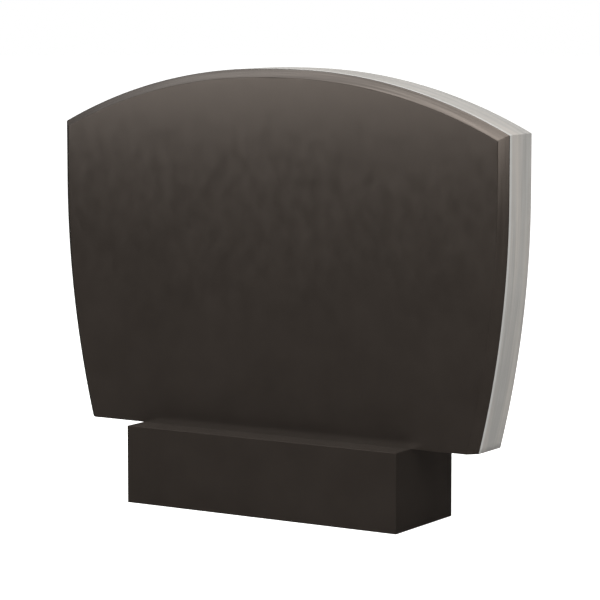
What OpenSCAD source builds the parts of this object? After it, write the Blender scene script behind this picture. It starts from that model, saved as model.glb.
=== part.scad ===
// Granite headstone: a polished tablet with an arched top and curved flanks,
// standing by its own weight on a plain rectangular base.
// Frame: millimetres, +Z up, the face for the inscription looks along -Y, and the
// origin is on the ground under the middle of the base.

/* [Tablet] */
// Width across the two upper corners
tablet_width = 960; // [750:5:1300]
// Height of the upper corners above the foot
shoulder_height = 568; // [350:2:900]
// Rise of the arched top above the upper corners
crown_rise = 108; // [50:1:200]
// Thickness from front face to back face
tablet_thickness = 100; // [50:2:180]

/* [Outline] */
// Height of the straight upright stretch below each upper corner
upright_height = 112; // [20:2:300]
// Distance that each side swings in from there to the foot
foot_inset = 57; // [5:1:150]
// Radius of the flat arc across the middle of the top
middle_radius = 1600; // [1000:20:3000]
// Width of the flat arc across the middle of the top
middle_width = 130; // [40:5:400]

/* [Edges] */
// Width that the front chamfer takes off the front face
chamfer_width = 16; // [4:1:30]
// Depth that the front chamfer takes off the edge
chamfer_depth = 16; // [4:1:30]
// Small bevel that eases the tablet's back edge and the base's upright and upper edges
eased_edge = 2; // [0.5:0.5:5]

/* [Base] */
// Width of the base
base_width = 586; // [400:2:900]
// Depth of the base from front to back
base_depth = 206; // [150:2:400]
// Height of the base
base_height = 147; // [80:1:300]

/* [Hidden] */
$fn = 360;

polished = [0.20, 0.18, 0.17];

// The tablet stands in the middle of the base.
front_y = -tablet_thickness / 2;
back_y = tablet_thickness / 2;
foot_z = base_height;
shoulder_z = foot_z + shoulder_height;
crown_z = shoulder_z + crown_rise;
half_width = tablet_width / 2;
// Far enough to pass every face of the stone
reach = 2 * (tablet_width + shoulder_height + crown_rise);

// The top is a three-centred arch. Angles are measured from straight up.
middle_z = crown_z - middle_radius;
joint_angle = asin(middle_width / 2 / middle_radius);
joint_direction = [sin(joint_angle), cos(joint_angle)];
// From the middle arc's centre to the upper corner, and how far that lies along the joint
to_corner = [half_width, shoulder_z - middle_z];
along_joint = to_corner * joint_direction;
// The outer arcs touch the middle arc at the joint and end in the upper corners.
outer_radius = (to_corner * to_corner - 2 * middle_radius * along_joint + pow(middle_radius, 2))
    / (2 * (middle_radius - along_joint));
outer_centre = [0, middle_z] + (middle_radius - outer_radius) * joint_direction;

// Each flank is upright down to the turn and swings in to the foot on one arc.
turn_z = shoulder_z - upright_height;
flank_drop = turn_z - foot_z;
flank_radius = (pow(flank_drop, 2) + pow(foot_inset, 2)) / (2 * foot_inset);

// A disc standing on edge, as thick as the tablet, with the tablet's two edge cuts
module edged_disc(radius, centre) {
    translate([centre.x, front_y, centre.y]) rotate([-90, 0, 0]) {
        cylinder(h = chamfer_depth, r1 = radius - chamfer_width, r2 = radius);
        translate([0, 0, chamfer_depth])
            cylinder(h = tablet_thickness - chamfer_depth - eased_edge, r = radius);
        translate([0, 0, tablet_thickness - eased_edge])
            cylinder(h = eased_edge, r1 = radius, r2 = radius - eased_edge);
    }
}

// Everything between two directions out of a centre, seen from the front
module sector(centre, from_angle, to_angle) {
    middle_angle = (from_angle + to_angle) / 2;
    translate([centre.x, reach, centre.y]) rotate([90, 0, 0])
        linear_extrude(2 * reach)
            polygon(concat([[0, 0]],
                [for (a = [from_angle, middle_angle, to_angle]) 2 * reach * [sin(a), cos(a)]]));
}

// All that lies below the arched top
module below_crown() {
    intersection() {
        edged_disc(middle_radius, [0, middle_z]);
        sector([0, middle_z], -joint_angle, joint_angle);
    }
    for (side = [0, 1]) mirror([side, 0, 0]) intersection() {
        edged_disc(outer_radius, outer_centre);
        sector([0, middle_z], joint_angle, 180);
    }
}

// The blank between the upright flanks, standing on its foot
module blank() {
    translate([0, 0, foot_z]) linear_extrude(crown_z - foot_z + chamfer_width)
        polygon([
            [chamfer_width - half_width, front_y],
            [half_width - chamfer_width, front_y],
            [half_width, front_y + chamfer_depth],
            [half_width, back_y - eased_edge],
            [half_width - eased_edge, back_y],
            [eased_edge - half_width, back_y],
            [-half_width, back_y - eased_edge],
            [-half_width, front_y + chamfer_depth]
        ]);
}

// What is cut from the right flank below its turn
module flank_waste() {
    difference() {
        translate([0, -reach, turn_z - reach]) cube([reach, 2 * reach, reach]);
        edged_disc(flank_radius, [half_width - flank_radius, turn_z]);
    }
}

module tablet() {
    color(polished) difference() {
        intersection() {
            blank();
            below_crown();
        }
        flank_waste();
        mirror([1, 0, 0]) flank_waste();
    }
}

// A rectangle round the origin with its four corners eased
module eased_rectangle(width, height) {
    intersection() {
        square([width, height], center = true);
        rotate(45) square((width + height - 2 * eased_edge) / sqrt(2), center = true);
    }
}

// The base is eased on its upright and upper edges, and sits square on the ground.
module base() {
    color(polished) intersection() {
        linear_extrude(base_height) eased_rectangle(base_width, base_depth);
        rotate([90, 0, 0]) linear_extrude(base_depth, center = true)
            eased_rectangle(base_width, 2 * base_height);
        rotate([90, 0, 90]) linear_extrude(base_width, center = true)
            eased_rectangle(base_depth, 2 * base_height);
    }
}

tablet();
base();
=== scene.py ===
"""A blank granite headstone: an arched tablet standing on a plain base.

The tablet's polished faces are dark. Its top and its flanks are honed to a light
grey, and a wide chamfer runs round the front. Everything is in metres, in the
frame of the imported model.
"""

import math

import bmesh
import bpy
from bpy.props import FloatProperty, FloatVectorProperty, IntProperty, PointerProperty
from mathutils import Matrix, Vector


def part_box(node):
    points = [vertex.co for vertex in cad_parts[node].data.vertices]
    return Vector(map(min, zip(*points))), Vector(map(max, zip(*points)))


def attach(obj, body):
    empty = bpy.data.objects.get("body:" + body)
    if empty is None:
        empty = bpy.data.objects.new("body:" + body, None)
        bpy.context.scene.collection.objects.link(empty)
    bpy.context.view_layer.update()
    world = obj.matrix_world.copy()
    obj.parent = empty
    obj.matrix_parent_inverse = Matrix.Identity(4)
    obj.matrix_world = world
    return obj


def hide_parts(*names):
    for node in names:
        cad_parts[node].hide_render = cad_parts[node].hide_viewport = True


bl_info = {
    "name": "Granite Headstone",
    "version": (1, 0, 0),
    "blender": (4, 5, 0),
    "location": "3D View > Sidebar > Headstone",
    "description": "Builds a polished granite headstone with an arched tablet and a base",
    "category": "Add Mesh",
}

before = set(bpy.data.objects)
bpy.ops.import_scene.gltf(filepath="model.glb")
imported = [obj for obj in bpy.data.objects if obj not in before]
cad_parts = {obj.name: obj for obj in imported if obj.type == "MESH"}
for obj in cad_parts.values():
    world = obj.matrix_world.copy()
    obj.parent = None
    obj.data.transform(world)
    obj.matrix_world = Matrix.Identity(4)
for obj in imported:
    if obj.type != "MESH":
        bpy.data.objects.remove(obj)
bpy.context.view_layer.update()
TABLET_LOW, TABLET_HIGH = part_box("tablet")
BASE_LOW, BASE_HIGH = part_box("base")
TABLET_SPAN = TABLET_HIGH - TABLET_LOW
BASE_SPAN = BASE_HIGH - BASE_LOW

BODY = "root"
EDGE_MAP = "UVMap"
CROWN_RISE = 0.108
WHITE = (1.0, 1.0, 1.0, 1.0)


# ---------------------------------------------------------------- sizes and colours


def length(name, description, default, **limits):
    """A size in metres, for a property group."""
    return FloatProperty(
        name=name, description=description, default=default, unit="LENGTH",
        precision=4, **{"min": 0.0001, **limits}
    )


def colour(name, description, default):
    """A colour without alpha, for a property group."""
    return FloatVectorProperty(
        name=name, description=description, default=default, subtype="COLOR",
        size=3, min=0.0, max=1.0
    )


class TabletSizes(bpy.types.PropertyGroup):
    """Sizes of the arched tablet"""

    width: length("Width", "Width across the two upper corners", TABLET_SPAN.x)
    thickness: length("Thickness", "From the front face to the back face", TABLET_SPAN.y)
    crown_rise: length("Crown rise", "Rise of the arched top above the corners", CROWN_RISE)
    shoulder_height: length(
        "Shoulder height", "Height of the upper corners above the foot",
        TABLET_SPAN.z - CROWN_RISE
    )
    foot_level: length("Foot level", "Height of the foot above the ground", TABLET_LOW.z)
    upright_height: length(
        "Upright height", "Straight stretch of each flank below the corner", 0.112
    )
    foot_inset: length("Foot inset", "How far each flank swings in to the foot", 0.057)
    middle_radius: length("Middle radius", "Radius of the flat arc in the top", 1.6)
    middle_width: length("Middle width", "Width of the flat arc in the top", 0.13)
    chamfer: length("Chamfer", "Width and depth of the front chamfer", 0.016)
    eased_edge: length("Eased edge", "Bevel along the back edge", 0.002)
    arris: length("Arris", "Softening of the chamfer's outer edge", 0.0024)
    fine_arris: length("Fine arris", "Softening of the other cut edges", 0.0009)
    flank_steps: IntProperty(
        name="Flank steps", description="Rows of faces up each flank", default=44, min=4
    )
    top_steps: IntProperty(
        name="Top steps", description="Rows of faces from corner to crown", default=64, min=4
    )


class BaseSizes(bpy.types.PropertyGroup):
    """Sizes of the plain base"""

    width: length("Width", "From side to side", BASE_SPAN.x)
    depth: length("Depth", "From front to back", BASE_SPAN.y)
    height: length("Height", "From the ground to its top", BASE_SPAN.z)
    arris: length("Arris", "Rounding of its upright and upper edges", 0.0005)


class GraniteLook(bpy.types.PropertyGroup):
    """Colours and finish of the stone"""

    ground: colour("Ground", "Dark body of the polished stone", (0.0180, 0.0146, 0.0123))
    crystal: colour("Crystal", "Paler crystals in the polished stone", (0.0260, 0.0214, 0.0181))
    fleck: colour("Fleck", "The few pale flecks", (0.10, 0.09, 0.08))
    honed_ground: colour("Honed ground", "Darker grains of the honed edges", (0.255, 0.248, 0.235))
    honed_crystal: colour("Honed crystal", "Paler grains of the honed edges", (0.400, 0.389, 0.370))
    buff: colour("Buff", "Warmer bands in the honed edges", (0.365, 0.335, 0.305))
    # Painted highlight: the honed faces' front arris gets a lighter colour, standing in for the
    # light that arris catches.
    highlit: colour("Highlit", "The worn front edge of the honed faces", (0.375, 0.368, 0.354))
    grain: length("Grain", "Size of the crystals", 0.0024)
    highlit_depth: length(
        "Worn depth", "Depth at which the worn front edge of the honed faces ends", -0.0270,
        min=-1.0
    )
    sheen: colour("Sheen", "Tint of what the polished stone mirrors", (1.0, 0.86, 0.75))
    polish: FloatProperty(
        name="Polish", description="Roughness of the polished faces", default=0.22,
        min=0.0, max=1.0, subtype="FACTOR"
    )
    dulled_gloss: FloatProperty(
        name="Dulled gloss", description="Specular level of the base's top", default=0.06,
        min=0.0, max=1.0, subtype="FACTOR"
    )
    honing: FloatProperty(
        name="Honing", description="Roughness of the honed edges", default=0.55,
        min=0.0, max=1.0, subtype="FACTOR"
    )


class StudioSetup(bpy.types.PropertyGroup):
    """Camera, floor and light"""

    azimuth: FloatProperty(
        name="Azimuth", description="Camera's turn towards the stone's right side",
        default=math.radians(31.94), subtype="ANGLE"
    )
    elevation: FloatProperty(
        name="Elevation", description="Camera's height above the horizon",
        default=math.radians(6.61), subtype="ANGLE"
    )
    distance: length("Distance", "From the camera to the point it looks at", 5.164)
    aim_side: length("Aim side", "Point looked at, to the right of the middle", 0.0273)
    aim_height: length("Aim height", "Point looked at, above the ground", 0.3953)
    lens: FloatProperty(
        name="Lens", description="Focal length", default=167.45, min=10.0, unit="CAMERA"
    )
    floor_radius: length("Floor radius", "Reach of the plain floor", 30.0)
    overhead: FloatProperty(
        name="Overhead", description="Brightness of the softbox overhead, at its right end",
        default=7.1, min=0.0
    )
    fade: FloatProperty(
        name="Fade", description="What is left of that brightness at the softbox's left end",
        default=0.08, min=0.0, max=1.0, subtype="FACTOR"
    )
    front: FloatProperty(
        name="Front", description="Brightness of the panel in front", default=4.6, min=0.0
    )
    side: FloatProperty(
        name="Side", description="Brightness of the panel on the right", default=5.0, min=0.0
    )
    surround: FloatProperty(
        name="Surround", description="Brightness of the room", default=0.45, min=0.0
    )
    mirrored: FloatProperty(
        name="Mirrored", description="Brightness of the room where polished stone mirrors it",
        default=0.02, min=0.0
    )
    glow: FloatProperty(
        name="Glow", description="Light given off by the floor", default=0.4, min=0.0
    )
    burn: FloatProperty(
        name="Burn", description="How much brighter the floor looks to the camera", default=0.5,
        min=0.0
    )


# ---------------------------------------------------------------- node helpers


class Flow:
    """A number in a node tree. Plain arithmetic on it adds the Math nodes."""

    def __init__(self, tree, socket):
        self.tree = tree
        self.socket = socket

    @classmethod
    def fixed(cls, tree, value):
        """A flow that carries one plain number."""
        node = tree.nodes.new("ShaderNodeValue")
        node.outputs[0].default_value = value
        return cls(tree, node.outputs[0])

    def math(self, operation, *others):
        """What a Math node makes of this number and the others."""
        node = self.tree.nodes.new("ShaderNodeMath")
        node.operation = operation
        for entry, value in zip(node.inputs, (self, *others)):
            feed(self.tree, entry, value)
        return Flow(self.tree, node.outputs[0])

    def __add__(self, other):
        return self.math("ADD", other)

    def __sub__(self, other):
        return self.math("SUBTRACT", other)

    def __mul__(self, other):
        return self.math("MULTIPLY", other)

    def __truediv__(self, other):
        return self.math("DIVIDE", other)

    def over(self, limit):
        """1 where the number is greater than the limit, otherwise 0."""
        return self.math("GREATER_THAN", limit)

    def under(self, limit):
        """1 where the number is less than the limit, otherwise 0."""
        return self.math("LESS_THAN", limit)

    def root(self):
        """Its square root."""
        return self.math("SQRT")

    def squared(self):
        """The number times itself."""
        return self * self


def feed(tree, entry, value):
    """Links a flow or a socket to an input, or sets the input to a plain value."""
    if isinstance(value, Flow):
        tree.links.new(value.socket, entry)
    elif isinstance(value, bpy.types.NodeSocket):
        tree.links.new(value, entry)
    else:
        entry.default_value = value


def add_node(tree, kind, settings=None, **inputs):
    """A new node with its settings made and its inputs fed by name."""
    node = tree.nodes.new(kind)
    for key, value in (settings or {}).items():
        setattr(node, key, value)
    for key, value in inputs.items():
        feed(tree, node.inputs[key.replace("_", " ")], value)
    return node


def choose(condition, chosen, otherwise):
    """chosen where the condition is 1, and otherwise where it is 0."""
    return otherwise + (chosen - otherwise) * condition


def arc_height(radius, sideways):
    """Height above its centre of an arc's point that lies that far sideways."""
    return (radius.squared() - sideways.squared()).root()


# ---------------------------------------------------------------- stone


# How strongly the crystals and the clouds show, and the cloud level that stays dark
CRYSTAL_SHARE = 0.10
CLOUD_SHARE = 1.1
CLOUD_DARK = 0.32
# A fleck's reach in its cell, and the cell's number above which it gets one
FLECK_REACH = 0.055
FLECK_LUCK = 0.985

# How far the roughness varies over each finish
SMEAR_ROUGHNESS = 0.16
CHAMFER_ROUGHNESS = 0.20
HONED_ROUGHNESS = 0.14

# How much rougher the chamfer is than the broad faces, and how much lighter its colour is painted:
# painted light for the brighter surroundings the polished chamfer mirrors
CHAMFER_ROUGHER = 0.01
CHAMFER_PAINTED_LIFT = 1.25
# The chamfer's gloss rises towards its inner edge, and differs from line to line.
GLOSS_LINES = 1.2
GLOSS_PER_METRE = 8.0
GLOSS_OFFSET = 0.48

# What the crystals, the honing lines and the painted shade do to the honed stone's tone,
# and the height at which it is palest; above and below that height the tone is painted darker, as
# painted shade
HONED_CRYSTALS = 0.35
HONED_LINES = 1.3
HONED_PAINTED_SHADE = 0.8
HONED_OFFSET = 0.42
PALEST_HEIGHT = 0.65
# The line level at which a buff band starts, and how fast it comes in
BUFF_START = 0.45
BUFF_GAIN = 3.0
# Shares of the lines and of the crystals in the honed stone's fine relief
RELIEF_LINES = 0.7
RELIEF_CRYSTALS = 0.3


def crystals(tree, place, grain):
    """The crystals' brightness, the rare pale flecks and each crystal's own number."""
    grains = add_node(
        tree, "ShaderNodeTexVoronoi", {"feature": "F1"},
        Vector=place, Scale=1 / grain, Randomness=1.0
    )
    clouds = add_node(
        tree, "ShaderNodeTexNoise", Vector=place, Scale=11.0, Detail=3.0, Roughness=0.55
    )
    shade = add_node(tree, "ShaderNodeSeparateColor", Color=grains.outputs["Color"])
    speckle = Flow(tree, shade.outputs["Red"])
    cloud = Flow(tree, clouds.outputs["Fac"])
    brightness = speckle * CRYSTAL_SHARE + (cloud - CLOUD_DARK) * CLOUD_SHARE
    spots = add_node(
        tree, "ShaderNodeTexVoronoi", {"feature": "F1"},
        Vector=place, Scale=46.0, Randomness=1.0
    )
    luck = add_node(tree, "ShaderNodeSeparateColor", Color=spots.outputs["Color"])
    fleck = Flow(tree, spots.outputs["Distance"]).under(FLECK_REACH)
    fleck = fleck * Flow(tree, luck.outputs["Green"]).over(FLECK_LUCK)
    return brightness, fleck, speckle


def mix_colours(tree, factor, first, second):
    """The colour between first and second."""
    node = tree.nodes.new("ShaderNodeMix")
    node.data_type = "RGBA"
    feed(tree, node.inputs["Factor"], factor)
    colour_inputs = [entry for entry in node.inputs if entry.type == "RGBA"]
    for entry, value in zip(colour_inputs, (first, second)):
        feed(tree, entry, value)
    return [entry for entry in node.outputs if entry.type == "RGBA"][0]


def opaque(rgb):
    """The colour with an alpha of 1."""
    return (*rgb, 1.0)


def around(factor, middle, spread):
    """A number that varies about the middle while the factor goes from 0 to 1."""
    return factor * spread + (middle - spread / 2)


def new_material(name, **uniform):
    """A material whose shader has the given uniform values on its own sockets."""
    material = bpy.data.materials.new(name)
    material.use_nodes = True
    tree = material.node_tree
    shader = tree.nodes["Principled BSDF"]
    for key, value in uniform.items():
        shader.inputs[key.replace("_", " ")].default_value = value
    return material, tree, shader


def object_place(tree):
    """The point's own place in the stone, which the crystals keep to."""
    return add_node(tree, "ShaderNodeTexCoord").outputs["Object"]


def edge_place(tree):
    """The point's place along the tablet's edge and, as its second number, its depth."""
    return add_node(tree, "ShaderNodeUVMap", {"uv_map": EDGE_MAP}).outputs["UV"]


def part_of(tree, place, axis):
    """One number of a place."""
    return Flow(tree, add_node(tree, "ShaderNodeSeparateXYZ", Vector=place).outputs[axis])


def streaks(tree, fine, coarse):
    """A factor from 0 to 1 that runs in long lines along the tablet's edge."""
    stretched = add_node(
        tree, "ShaderNodeMapping", Vector=edge_place(tree), Scale=(coarse, fine, 1.0)
    )
    lines = add_node(
        tree, "ShaderNodeTexNoise", Vector=stretched.outputs["Vector"],
        Scale=1.0, Detail=3.0, Roughness=0.6
    )
    return Flow(tree, lines.outputs["Fac"])


def score(tree, shader, height, strength, distance):
    """Gives the shader a fine relief."""
    bump = add_node(
        tree, "ShaderNodeBump", Height=height, Strength=strength, Distance=distance
    )
    feed(tree, shader.inputs["Normal"], bump.outputs["Normal"])


def dark_stone(tree, look, painted_lift=1.0):
    """The dark stone's colour, with its crystals, clouds and pale flecks."""
    brightness, fleck, _ = crystals(tree, object_place(tree), look.grain)
    # The lift scales the ground and crystal colours. It is painted light, and at 1 none is painted.
    ground = opaque(level * painted_lift for level in look.ground)
    crystal = opaque(level * painted_lift for level in look.crystal)
    stone = mix_colours(tree, brightness, ground, crystal)
    return mix_colours(tree, fleck, stone, opaque(look.fleck))


def polished_granite(look, name, gloss=0.5):
    """Dark stone ground and polished on its broad faces."""
    material, tree, shader = new_material(
        name, IOR=1.5, Specular_IOR_Level=gloss, Specular_Tint=opaque(look.sheen)
    )
    feed(tree, shader.inputs["Base Color"], dark_stone(tree, look))
    wiped = add_node(
        tree, "ShaderNodeMapping", Vector=object_place(tree), Scale=(1.0, 1.0, 0.7)
    )
    smears = add_node(
        tree, "ShaderNodeTexNoise", Vector=wiped.outputs["Vector"], Scale=40.0, Detail=5.0
    )
    smear = Flow(tree, smears.outputs["Fac"])
    feed(tree, shader.inputs["Roughness"], around(smear, look.polish, SMEAR_ROUGHNESS))
    return material


def dulled_granite(look, name):
    """The same dark stone on the base's top, where the weather has dulled its polish."""
    return polished_granite(look, name, look.dulled_gloss)


def chamfer_granite(look, name):
    """The same dark stone on the chamfer, where the polishing runs along the edge.

    Its colour is painted a little lighter than the broad faces, as painted light for the brighter
    surroundings it mirrors.
    """
    material, tree, shader = new_material(name, IOR=1.5, Specular_Tint=opaque(look.sheen))
    # Painted light: the chamfer's stone colour is lifted to stand in for the brighter surroundings
    # it mirrors.
    feed(tree, shader.inputs["Base Color"], dark_stone(tree, look, CHAMFER_PAINTED_LIFT))
    lines = streaks(tree, fine=260.0, coarse=3.0)
    roughness = around(lines, look.polish + CHAMFER_ROUGHER, CHAMFER_ROUGHNESS)
    feed(tree, shader.inputs["Roughness"], roughness)
    depth = part_of(tree, edge_place(tree), "Y")
    gloss = lines * GLOSS_LINES - depth * GLOSS_PER_METRE - GLOSS_OFFSET
    feed(tree, shader.inputs["Specular IOR Level"], gloss)
    score(tree, shader, lines, strength=0.35, distance=0.0008)
    return material


def honed_granite(look, name):
    """Light grey stone on the cut edges, with fine marks left by the honing."""
    material, tree, shader = new_material(name, Specular_IOR_Level=0.35, IOR=1.5)
    place = object_place(tree)
    brightness, _, speckle = crystals(tree, place, look.grain)
    lines = streaks(tree, fine=150.0, coarse=4.0)
    # Painted shade: the honed tone is painted darker the farther a point lies above or below the
    # palest height.
    painted_shade = (part_of(tree, place, "Z") - PALEST_HEIGHT).math("ABSOLUTE")
    tone = brightness * HONED_CRYSTALS + lines * HONED_LINES
    tone = tone - painted_shade * HONED_PAINTED_SHADE - HONED_OFFSET
    stone = mix_colours(tree, tone, opaque(look.honed_ground), opaque(look.honed_crystal))
    bands = (streaks(tree, fine=45.0, coarse=2.2) - BUFF_START) * BUFF_GAIN
    stone = mix_colours(tree, bands, stone, opaque(look.buff))
    # Painted highlight: in front of that depth the honed faces take the lighter colour, in place of
    # the bright line their front arris catches.
    highlit = part_of(tree, edge_place(tree), "Y").under(look.highlit_depth)
    feed(tree, shader.inputs["Base Color"], mix_colours(tree, highlit, stone, opaque(look.highlit)))
    feed(tree, shader.inputs["Roughness"], around(lines, look.honing, HONED_ROUGHNESS))
    relief = lines * RELIEF_LINES + speckle * RELIEF_CRYSTALS
    score(tree, shader, relief, strength=0.15, distance=0.0005)
    return material


POLISHED = "polished dark granite"
DULLED = "dulled dark granite"
CHAMFER = "polished granite chamfer"
HONED = "honed light granite"
MAKERS = {
    POLISHED: polished_granite,
    DULLED: dulled_granite,
    CHAMFER: chamfer_granite,
    HONED: honed_granite,
}


def finish(look, name):
    """A finish's material, made on first use and then shared by every piece."""
    return bpy.data.materials.get(name) or MAKERS[name](look, name)


# ---------------------------------------------------------------- tablet


TABLET_INPUTS = (
    ("Width", "width"),
    ("Thickness", "thickness"),
    ("Crown Rise", "crown_rise"),
    ("Shoulder Height", "shoulder_height"),
    ("Foot Level", "foot_level"),
    ("Upright Height", "upright_height"),
    ("Foot Inset", "foot_inset"),
    ("Middle Radius", "middle_radius"),
    ("Middle Width", "middle_width"),
    ("Chamfer", "chamfer"),
    ("Eased Edge", "eased_edge"),
)
STEP_INPUTS = (("Flank Steps", "flank_steps"), ("Top Steps", "top_steps"))
# Its finishes, in the order of their numbers on the faces
FINISH_INPUTS = (("Polished", POLISHED), ("Chamfer Finish", CHAMFER), ("Honed", HONED))
CHAMFER_NUMBER = 1
HONED_NUMBER = 2
FINISH_LAYER = "finish"
# Columns of the grid that is wrapped round the tablet, from the middle of the front
# round the right flank to the middle of the back, and on round the left flank
COLUMNS = 11
# Stations across the tablet, counted from the middle of the back: the back face ends
# at the first of these, and the chamfer lies between the other two
BACK_STATION = 1.0
CHAMFER_STATION = 3.0
FRONT_STATION = 4.0
# Points closer than this are merged, on the wrapped grid and on a rounded piece.
MERGE_DISTANCE = 0.00001
SLIVER = 0.00005
# An edge is a cut edge when its two faces meet at more than this.
CUT_ANGLE = math.radians(20)
# The chamfer's polish ends on its outer arris where a face's normal has this depth.
POLISH_END = -0.38


def declare_sockets(tree):
    """The tablet tree's inputs and output."""
    face = tree.interface
    for name, _ in TABLET_INPUTS:
        face.new_socket(name, in_out="INPUT", socket_type="NodeSocketFloat").subtype = "DISTANCE"
    for name, _ in STEP_INPUTS:
        face.new_socket(name, in_out="INPUT", socket_type="NodeSocketInt")
    for name, _ in FINISH_INPUTS:
        face.new_socket(name, in_out="INPUT", socket_type="NodeSocketMaterial")
    face.new_socket("Geometry", in_out="OUTPUT", socket_type="NodeSocketGeometry")


def tablet_grid(tree, size):
    """The flat grid of faces, each point's turn from the middle of the back, and its row.

    The turn is positive on the right side, and the first row is numbered -1.
    """
    last_row = size["Flank Steps"] + size["Top Steps"] + 1.0
    grid = add_node(
        tree, "GeometryNodeMeshGrid", Size_X=float(COLUMNS - 1), Size_Y=last_row,
        Vertices_X=COLUMNS, Vertices_Y=last_row + 1.0
    )
    spot = tree.nodes.new("GeometryNodeInputPosition").outputs["Position"]
    turn = part_of(tree, spot, "X") * -1.0
    row = part_of(tree, spot, "Y") + last_row / 2.0 - 1.0
    return grid.outputs["Mesh"], turn, row


def by_station(tree, station, *values):
    """The value that belongs to the point's station, counted from the middle of the back."""
    node = tree.nodes.new("GeometryNodeIndexSwitch")
    node.data_type = "FLOAT"
    while len(node.index_switch_items) < len(values):
        node.index_switch_items.new()
    feed(tree, node.inputs[0], station.math("ROUND"))
    for place, value in enumerate(values):
        feed(tree, node.inputs[1 + place], value)
    return Flow(tree, node.outputs[0])


def tablet_section(tree, size, station):
    """Each station's inset from the outline, its depth, and its spread, 0 in the middle."""
    back = size["Thickness"] / 2.0
    front = back * -1.0
    chamfer, eased = size["Chamfer"], size["Eased Edge"]
    inset = by_station(tree, station, eased, eased, 0.0, 0.0, chamfer, chamfer)
    depth = by_station(tree, station, back, back, back - eased, front + chamfer, front, front)
    spread = by_station(tree, station, 0.0, 1.0, 1.0, 1.0, 1.0, 0.0)
    return inset, depth, spread


def arch_level(size, inset, sideways):
    """The height of the arched top that far sideways, drawn in by the inset.

    A flat arc lies in the middle. The two outer arcs touch it and end in the corners.
    """
    half = size["Width"] / 2.0
    shoulder = size["Foot Level"] + size["Shoulder Height"]
    radius = size["Middle Radius"]
    middle = shoulder + size["Crown Rise"] - radius
    joint = (size["Middle Width"] / 2.0 / radius).math("ARCSINE")
    sine, cosine = joint.math("SINE"), joint.math("COSINE")
    rise = shoulder - middle
    along_joint = half * sine + rise * cosine
    corner_squared = half.squared() + rise.squared()
    outer_radius = (
        corner_squared - along_joint * radius * 2.0 + radius.squared()
    ) / ((radius - along_joint) * 2.0)
    outer_side = (radius - outer_radius) * sine
    outer_level = middle + (radius - outer_radius) * cosine
    return choose(
        sideways.under((radius - inset) * sine),
        middle + arc_height(radius - inset, sideways),
        outer_level + arc_height(outer_radius - inset, sideways - outer_side)
    )


def flank_side(size, inset, level):
    """How far sideways the flank lies at that level, drawn in by the inset.

    Its upper stretch is upright, and from there one arc swings in to the foot.
    """
    upright_end = size["Foot Level"] + size["Shoulder Height"] - size["Upright Height"]
    drop = upright_end - size["Foot Level"]
    radius = (drop.squared() + size["Foot Inset"].squared()) / (size["Foot Inset"] * 2.0)
    swing = (upright_end - level).math("MAXIMUM", 0.0)
    return size["Width"] / 2.0 - radius + arc_height(radius - inset, swing)


def outline_place(size, row, inset):
    """How far sideways and how high a row lies, on the outline drawn in by the inset.

    The last number is how far the row lies from the crown, down and sideways together.
    """
    crown = size["Foot Level"] + size["Shoulder Height"] + size["Crown Rise"]
    corner_side = size["Width"] / 2.0 - inset

    # Flank rows: equal steps up to the corner
    corner_rise = arch_level(size, inset, corner_side) - size["Foot Level"]
    climb = (row / size["Flank Steps"]).math("MINIMUM", 1.0).math("MAXIMUM", 0.0)
    flank_level = size["Foot Level"] + corner_rise * climb

    # Top rows: equal steps sideways from the corner to the crown
    closing = ((row - size["Flank Steps"]) / size["Top Steps"]).math("MAXIMUM", 0.0)
    top_side = corner_side - corner_side * closing

    on_top = row.over(size["Flank Steps"])
    sideways = choose(on_top, top_side, flank_side(size, inset, flank_level))
    level = choose(on_top, arch_level(size, inset, top_side), flank_level)
    from_crown = crown - inset - level + choose(on_top, top_side, corner_side)
    return sideways, level, from_crown


def finish_number(station, row):
    """The number of a face's finish: 0 polished, 1 chamfer, 2 honed."""
    is_chamfer = station.over(CHAMFER_STATION) * station.under(FRONT_STATION)
    is_edge = station.over(BACK_STATION) * station.under(CHAMFER_STATION)
    is_foot = row.under(0.0)
    upright = is_chamfer * CHAMFER_NUMBER + is_edge * HONED_NUMBER
    return upright.math("MAXIMUM", is_foot * HONED_NUMBER)


def dress(tree, shape, entry):
    """Sets each face's material by the number of its finish."""
    read = add_node(
        tree, "GeometryNodeInputNamedAttribute", {"data_type": "INT"}, Name=FINISH_LAYER
    )
    chosen = Flow(tree, read.outputs["Attribute"])
    for number, (name, _) in enumerate(FINISH_INPUTS):
        # The first finish covers every face, and the others then take theirs.
        match = chosen.over(number - 0.5) if number else True
        shape = add_node(
            tree, "GeometryNodeSetMaterial", Geometry=shape, Selection=match,
            Material=entry.outputs[name]
        ).outputs["Geometry"]
    return shape


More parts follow.
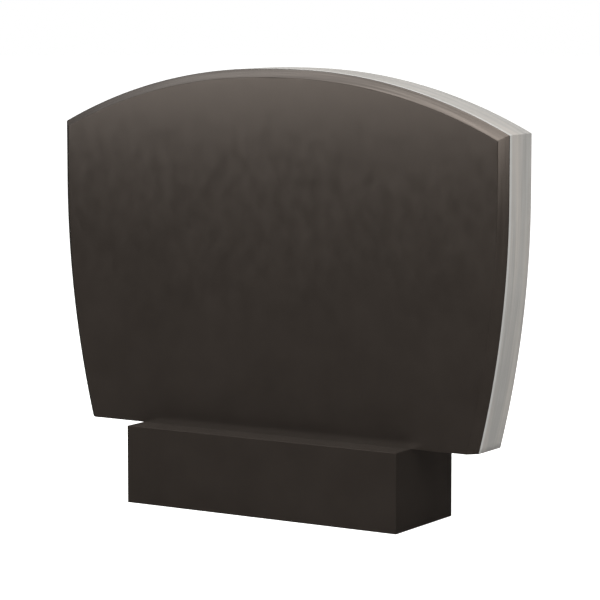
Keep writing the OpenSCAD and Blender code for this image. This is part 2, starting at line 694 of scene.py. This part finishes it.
def tablet_tree():
    """The node tree that wraps a grid of faces round the tablet's outline.

    Rows climb from the foot up both flanks to the corners and then close in to the
    crown. The first row lies in the middle of the foot, so that it closes the foot.
    """
    tree = bpy.data.node_groups.new("arched tablet", "GeometryNodeTree")
    tree.is_modifier = True
    declare_sockets(tree)
    entry = tree.nodes.new("NodeGroupInput")
    size = {name: Flow(tree, entry.outputs[name]) for name, _ in TABLET_INPUTS + STEP_INPUTS}

    grid, turn, row = tablet_grid(tree, size)
    station = turn.math("ABSOLUTE")
    side = turn.math("SIGN")
    inset, depth, spread = tablet_section(tree, size, station)
    sideways, level, from_crown = outline_place(size, row, inset)
    # The first row, numbered -1, stays in the middle.
    across = sideways * spread * side * row.over(-0.5)

    marks = add_node(tree, "ShaderNodeCombineXYZ", X=from_crown * side, Y=depth)
    mapped = add_node(
        tree, "GeometryNodeStoreNamedAttribute", {"data_type": "FLOAT2", "domain": "CORNER"},
        Geometry=grid, Name=EDGE_MAP, Value=marks.outputs["Vector"]
    )
    finished = add_node(
        tree, "GeometryNodeStoreNamedAttribute", {"data_type": "INT", "domain": "FACE"},
        Geometry=mapped.outputs["Geometry"], Name=FINISH_LAYER,
        Value=finish_number(station, row)
    )
    place = add_node(tree, "ShaderNodeCombineXYZ", X=across, Y=depth, Z=level)
    wrapped = add_node(
        tree, "GeometryNodeSetPosition", Geometry=finished.outputs["Geometry"],
        Position=place.outputs["Vector"]
    )
    closed = add_node(
        tree, "GeometryNodeMergeByDistance", Geometry=wrapped.outputs["Geometry"],
        Distance=MERGE_DISTANCE
    )
    real = add_node(tree, "GeometryNodeRealizeInstances", Geometry=closed.outputs["Geometry"])
    leave = tree.nodes.new("NodeGroupOutput")
    feed(tree, leave.inputs["Geometry"], dress(tree, real.outputs["Geometry"], entry))
    return tree


# ---------------------------------------------------------------- meshes


def new_piece(name, mesh):
    """An object for the mesh, in the scene and at the origin."""
    piece = bpy.data.objects.new(name, mesh)
    bpy.context.scene.collection.objects.link(piece)
    return piece


def settle(piece):
    """Turns the piece's modifiers into its own plain mesh."""
    graph = bpy.context.evaluated_depsgraph_get()
    made = bpy.data.meshes.new_from_object(piece.evaluated_get(graph))
    made.name = piece.name
    piece.modifiers.clear()
    piece.data = made


def run_tree(name, tree, values):
    """A piece with the plain mesh that a node tree makes from the given values."""
    piece = new_piece(name, bpy.data.meshes.new(name))
    modifier = piece.modifiers.new("form", "NODES")
    modifier.node_group = tree
    for entry in tree.interface.items_tree:
        if entry.in_out == "INPUT" and entry.name in values:
            modifier[entry.identifier] = values[entry.name]
    settle(piece)
    # The tree leaves an empty material slot in front of the others.
    piece.data.materials.pop(index=0)
    return piece


def weigh_edges(piece, share):
    """Marks the piece's cut edges with how much of the rounding each one gets.

    The edges it stands on get none and are set sharp, so that it meets what lies below.
    """
    marked = bmesh.new()
    marked.from_mesh(piece.data)
    lowest = min(corner.co.z for corner in marked.verts)
    weight = marked.edges.layers.float.new("bevel_weight_edge")
    for edge in marked.edges:
        stands = all(corner.co.z < lowest + SLIVER for corner in edge.verts)
        is_cut = edge.calc_face_angle(0.0) > CUT_ANGLE
        if is_cut and not stands:
            edge[weight] = share(edge)
        elif is_cut:
            edge.smooth = False
    marked.to_mesh(piece.data)
    marked.free()


def merge_slivers(piece):
    """Closes the slivers that a bevel leaves where three arrises meet at a flat angle."""
    cleaned = bmesh.new()
    cleaned.from_mesh(piece.data)
    bmesh.ops.remove_doubles(cleaned, verts=cleaned.verts, dist=SLIVER)
    cleaned.to_mesh(piece.data)
    cleaned.free()


def soften(piece, width, segments, share):
    """Rounds the piece's cut edges, and keeps its broad faces flat in the shading."""
    weigh_edges(piece, share)
    bevel = piece.modifiers.new("arris", "BEVEL")
    bevel.width = width
    bevel.segments = segments
    bevel.limit_method = "WEIGHT"
    bevel.use_clamp_overlap = False
    settle(piece)
    merge_slivers(piece)
    piece.data.shade_smooth()
    piece.modifiers.new("flat faces", "WEIGHTED_NORMAL").keep_sharp = True
    settle(piece)


def hand_over(piece, node):
    """Puts the piece on the body it rides on, and hides the imported part that it stands for."""
    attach(piece, BODY)
    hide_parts(node)


# ---------------------------------------------------------------- pieces


class HEADSTONE_OT_tablet(bpy.types.Operator):
    """Makes the arched tablet with its chamfer and honed edges"""

    bl_idname = "headstone.tablet"
    bl_label = "Tablet"
    bl_options = {"REGISTER", "UNDO"}

    def execute(self, context):
        sizes = context.scene.headstone_tablet
        look = context.scene.headstone_granite
        values = {name: getattr(sizes, key) for name, key in TABLET_INPUTS + STEP_INPUTS}
        values.update((name, finish(look, kind)) for name, kind in FINISH_INPUTS)
        tablet = run_tree("granite_tablet", tablet_tree(), values)
        outer_depth = sizes.chamfer - sizes.thickness / 2

        def share(edge):
            """All of the arris on the chamfer's outer edge, and the fine one elsewhere."""
            outer = all(abs(corner.co.y - outer_depth) < SLIVER for corner in edge.verts)
            return 1.0 if outer else sizes.fine_arris / sizes.arris

        soften(tablet, sizes.arris, segments=4, share=share)
        # The chamfer's polish runs on over the front half of its outer arris.
        for side in tablet.data.polygons:
            if side.material_index == HONED_NUMBER and side.normal.y < POLISH_END:
                side.material_index = CHAMFER_NUMBER
        hand_over(tablet, "tablet")
        return {"FINISHED"}


class HEADSTONE_OT_base(bpy.types.Operator):
    """Makes the plain base with its softened edges"""

    bl_idname = "headstone.base"
    bl_label = "Base"
    bl_options = {"REGISTER", "UNDO"}

    def execute(self, context):
        sizes = context.scene.headstone_base
        look = context.scene.headstone_granite
        # A cube of one metre on the ground is scaled to the block's sizes.
        block = bmesh.new()
        bmesh.ops.create_cube(block, size=1.0)
        bmesh.ops.translate(block, vec=(0, 0, 0.5), verts=block.verts)
        span = Vector((sizes.width, sizes.depth, sizes.height))
        bmesh.ops.scale(block, vec=span, verts=block.verts)
        for side in block.faces:
            # 0 for the top, 1 for the sides and 2 for the underside
            side.material_index = 1 - round(side.normal.z)
        mesh = bpy.data.meshes.new("granite_base")
        block.to_mesh(mesh)
        block.free()
        for kind in (DULLED, POLISHED, HONED):
            mesh.materials.append(finish(look, kind))
        base = new_piece("granite_base", mesh)
        soften(base, sizes.arris, segments=5, share=lambda edge: 1.0)
        hand_over(base, "base")
        return {"FINISHED"}


# ---------------------------------------------------------------- stage


# Where the panels hang, what they face, and their widths and heights
OVERHEAD_PLACE = {
    "centre": (-2.9, -0.7, 4.0), "target": (-2.9, -0.7, 0.0), "width": 8.2, "height": 4.0
}
FRONT_PLACE = {
    "centre": (-1.6, -2.6, 1.10), "target": (0.0, 0.0, 1.10), "width": 2.6, "height": 0.9
}
SIDE_PLACE = {
    "centre": (1.54, -0.73, 1.10), "target": (0.45, -0.04, 1.10), "width": 0.7, "height": 1.0
}


def place_camera(studio):
    """The camera in front of the stone, turned to its right side and a little above."""
    outward = math.cos(studio.elevation)
    back = Vector((
        math.sin(studio.azimuth) * outward, -math.cos(studio.azimuth) * outward,
        math.sin(studio.elevation)
    ))
    camera = bpy.data.objects.new("camera", bpy.data.cameras.new("camera"))
    camera.data.lens = studio.lens
    camera.location = Vector((studio.aim_side, 0, studio.aim_height)) + back * studio.distance
    camera.rotation_mode = "QUATERNION"
    camera.rotation_quaternion = (-back).to_track_quat("-Z", "Y")
    bpy.context.scene.collection.objects.link(camera)
    bpy.context.scene.camera = camera


def lay_floor(studio):
    """A plain pale floor that is burnt out to white for the camera."""
    disc = bmesh.new()
    bmesh.ops.create_circle(disc, cap_ends=True, radius=studio.floor_radius, segments=64)
    mesh = bpy.data.meshes.new("floor")
    disc.to_mesh(mesh)
    disc.free()
    floor = new_piece("floor", mesh)
    material, tree, shader = new_material(
        "pale floor", Base_Color=(0.60, 0.60, 0.595, 1.0), Roughness=0.9,
        Specular_IOR_Level=0.0, Emission_Color=WHITE
    )
    seen = Flow(tree, tree.nodes.new("ShaderNodeLightPath").outputs["Is Camera Ray"])
    feed(tree, shader.inputs["Emission Strength"], seen * studio.burn + studio.glow)
    mesh.materials.append(material)
    floor.visible_glossy = False


def fade_lamp(lamp, fade):
    """Dims a lamp towards its far end, where the fade is what is left of its brightness."""
    lamp.use_nodes = True
    tree = lamp.node_tree
    place = add_node(tree, "ShaderNodeNewGeometry").outputs["Parametric"]
    strength = part_of(tree, place, "X").squared() * (1.0 - fade) + fade
    feed(tree, tree.nodes["Emission"].inputs["Strength"], strength)


def hang_panel(name, brightness, centre, target, width, height):
    """A soft white panel that faces its target."""
    lamp = bpy.data.lights.new(name, "AREA")
    lamp.shape = "RECTANGLE"
    lamp.size = width
    lamp.size_y = height
    lamp.energy = brightness * math.pi * width * height
    panel = bpy.data.objects.new(name, lamp)
    panel.location = centre
    toward = Vector(target) - Vector(centre)
    panel.rotation_mode = "QUATERNION"
    panel.rotation_quaternion = toward.to_track_quat("-Z", "Y")
    panel.visible_camera = False
    bpy.context.scene.collection.objects.link(panel)
    return lamp


def light_room(studio):
    """A pale room: white behind the stone, and dim where the stone mirrors it."""
    world = bpy.data.worlds.new("studio")
    world.use_nodes = True
    bpy.context.scene.world = world
    tree = world.node_tree
    rays = tree.nodes.new("ShaderNodeLightPath")
    seen = Flow(tree, rays.outputs["Is Camera Ray"])
    mirrored = Flow(tree, rays.outputs["Is Glossy Ray"])
    surround = Flow.fixed(tree, studio.surround)
    ambient = choose(mirrored, Flow.fixed(tree, studio.mirrored), surround)
    strength = choose(seen, Flow.fixed(tree, 1.0), ambient)
    background = tree.nodes["Background"]
    background.inputs["Color"].default_value = WHITE
    feed(tree, background.inputs["Strength"], strength)


class HEADSTONE_OT_stage(bpy.types.Operator):
    """Sets up the camera, the floor and the studio light"""

    bl_idname = "headstone.stage"
    bl_label = "Stage"
    bl_options = {"REGISTER", "UNDO"}

    def execute(self, context):
        studio = context.scene.headstone_studio
        place_camera(studio)
        lay_floor(studio)
        light_room(studio)
        overhead = hang_panel("overhead softbox", studio.overhead, **OVERHEAD_PLACE)
        fade_lamp(overhead, studio.fade)
        hang_panel("front panel", studio.front, **FRONT_PLACE)
        hang_panel("side panel", studio.side, **SIDE_PLACE)
        context.scene.view_settings.view_transform = "Standard"
        return {"FINISHED"}


# ---------------------------------------------------------------- panel and registration


class HEADSTONE_PT_sidebar(bpy.types.Panel):
    """The headstone's sizes and finishes, and a button for each piece"""

    bl_label = "Headstone"
    bl_idname = "HEADSTONE_PT_sidebar"
    bl_space_type = "VIEW_3D"
    bl_region_type = "UI"
    bl_category = "Headstone"

    def draw(self, context):
        for title, name, operator in SECTIONS:
            box = self.layout.box()
            box.label(text=title)
            group = getattr(context.scene, name)
            for key in group.bl_rna.properties.keys():
                if key not in {"rna_type", "name"}:
                    box.prop(group, key)
            if operator:
                box.operator(operator)


SECTIONS = (
    ("Tablet", "headstone_tablet", "headstone.tablet"),
    ("Base", "headstone_base", "headstone.base"),
    ("Granite", "headstone_granite", None),
    ("Studio", "headstone_studio", "headstone.stage"),
)
GROUPS = {
    "headstone_tablet": TabletSizes,
    "headstone_base": BaseSizes,
    "headstone_granite": GraniteLook,
    "headstone_studio": StudioSetup,
}
CLASSES = (
    *GROUPS.values(), HEADSTONE_OT_tablet, HEADSTONE_OT_base, HEADSTONE_OT_stage,
    HEADSTONE_PT_sidebar,
)


def register():
    for item in CLASSES:
        bpy.utils.register_class(item)
    for name, group in GROUPS.items():
        setattr(bpy.types.Scene, name, PointerProperty(type=group))


def unregister():
    for name in GROUPS:
        delattr(bpy.types.Scene, name)
    for item in reversed(CLASSES):
        bpy.utils.unregister_class(item)


def main():
    register()
    bpy.ops.headstone.stage()
    bpy.ops.headstone.tablet()
    bpy.ops.headstone.base()


if __name__ == "__main__":
    main()
